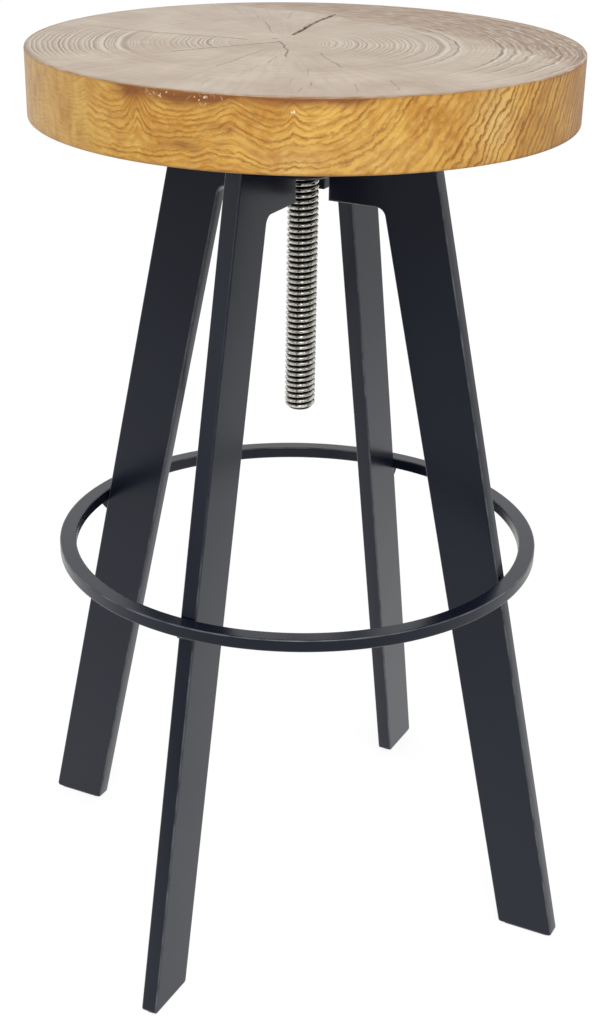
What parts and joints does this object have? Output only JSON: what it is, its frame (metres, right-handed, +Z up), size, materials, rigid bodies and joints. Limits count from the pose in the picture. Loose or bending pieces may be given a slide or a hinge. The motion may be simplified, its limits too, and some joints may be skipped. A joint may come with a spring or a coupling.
{
  "type": "adjustable stool",
  "caption": "Adjustable stool: a round wooden seat turns on a steel height screw, carried by splayed flat steel legs with a round foot ring.",
  "frame": {"origin": "on the floor, under the middle of the seat and on the axis of the height screw", "axes": "+Z up along the height screw, +X towards the right leg, -Y towards the front leg"},
  "size_m": [0.4584, 0.4584, 0.65],
  "materials": {
    "seat_wood": "satin lacquer",
    "black_steel": "fine matt powder coat",
    "bright_steel": "bright turned",
    "pad_rubber": "matt",
    "washer_nylon": "matt"
  },
  "bodies": {
    "frame": {"threaded_bush": "black_steel", "leg_front": "black_steel", "leg_right": "black_steel", "leg_back": "black_steel", "leg_left": "black_steel", "pad_front": "pad_rubber", "pad_right": "pad_rubber", "pad_back": "pad_rubber", "pad_left": "pad_rubber", "foot_ring": "black_steel", "ring_welds": "black_steel", "hub_welds": "black_steel"},
    "washer": {"thrust_washer": "washer_nylon"},
    "seat": {"seat_slab": "seat_wood", "seat_flange": "black_steel", "flange_screws": "bright_steel", "height_screw": "bright_steel", "screw_weld": "black_steel"}
  },
  "joints": [
    {"name": "seat_turn", "type": "hinge", "parent": "frame", "child": "washer", "pos_m": [0, 0, 0.598], "axis": [0, 0, 1], "range_deg": [0, 13500]},
    {"name": "seat_lift", "type": "slide", "parent": "washer", "child": "seat", "axis": [0, 0, 1], "range_m": [0, 0.15]}
  ],
  "couplings": [
    {"joint": "seat_lift", "follows": "seat_turn", "m_per_rad": 0.00063662}
  ]
}
